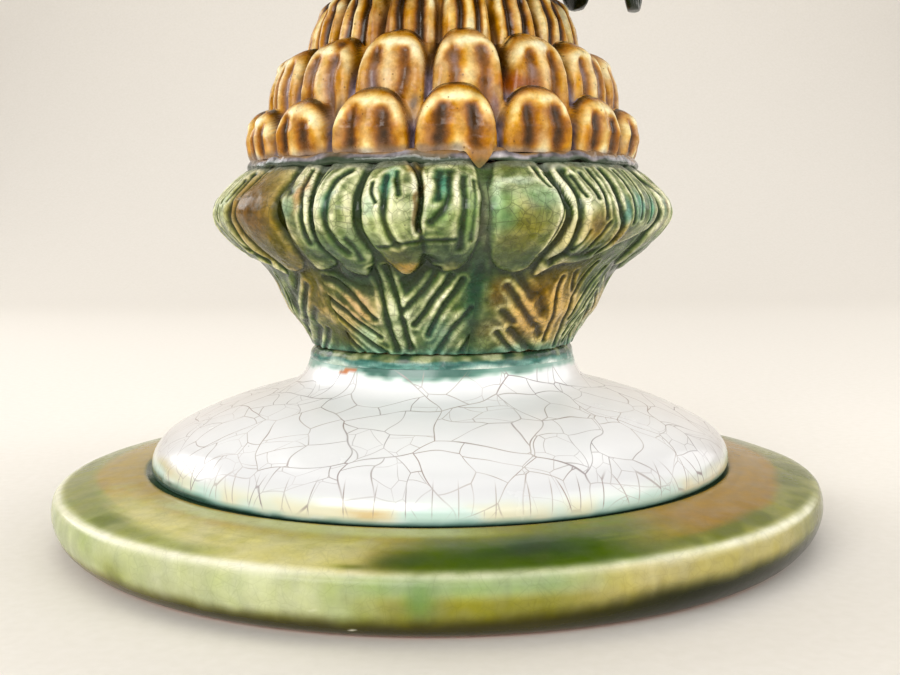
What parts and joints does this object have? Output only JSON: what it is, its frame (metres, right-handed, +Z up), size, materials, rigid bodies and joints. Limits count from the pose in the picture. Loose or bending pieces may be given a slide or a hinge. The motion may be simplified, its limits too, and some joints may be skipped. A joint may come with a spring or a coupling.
{
  "type": "pineapple pedestal bowl",
  "caption": "Glazed earthenware fruit bowl on a pineapple stem: white crackle bowl and domed foot, green rolled rims, leafy calyx and crown, amber scales.",
  "frame": {"origin": "centre of the foot's resting ring, on the table surface", "axes": "+Z up along the turning axis, -Y the front with calyx_leaf_1 turned 14 degrees towards -X, +X to the right"},
  "size_m": [0.276, 0.276, 0.252],
  "materials": {
    "olive_glaze": "glossy mottled olive, amber and green glaze",
    "white_crackle_glaze": "glossy white glaze with grey-brown crackle",
    "teal_pooled_glaze": "glossy pooled teal glaze",
    "green_leaf_glaze": "glossy green, cream and brown glaze pooled in the veins",
    "slip_seam": "glossy grey-lavender glaze",
    "amber_glaze": "glossy amber glaze, dark in the grooves and cream on the ridges",
    "biscuit_body": "unglazed terracotta",
    "dark_green_glaze": "glossy dark green glaze"
  },
  "bodies": {
    "root": {"foot_plate": "olive_glaze", "foot_dome": "white_crackle_glaze", "neck_ring": "teal_pooled_glaze", "calyx_cup": "green_leaf_glaze", "calyx_leaf_1": "green_leaf_glaze", "calyx_leaf_2": "green_leaf_glaze", "calyx_leaf_3": "green_leaf_glaze", "calyx_leaf_4": "green_leaf_glaze", "calyx_leaf_5": "green_leaf_glaze", "calyx_leaf_6": "green_leaf_glaze", "calyx_leaf_7": "green_leaf_glaze", "seam_ring": "slip_seam", "pineapple_core": "biscuit_body", "scale_row_1": "amber_glaze", "scale_row_2": "amber_glaze", "scale_row_3": "amber_glaze", "scale_row_4": "amber_glaze", "crown_collar": "dark_green_glaze", "crown_leaf_1": "dark_green_glaze", "crown_leaf_2": "dark_green_glaze", "crown_leaf_3": "dark_green_glaze", "crown_leaf_4": "dark_green_glaze", "crown_leaf_5": "dark_green_glaze", "crown_leaf_6": "dark_green_glaze", "crown_leaf_7": "dark_green_glaze", "crown_leaf_8": "dark_green_glaze", "bowl": "white_crackle_glaze"}
  },
  "joints": []
}
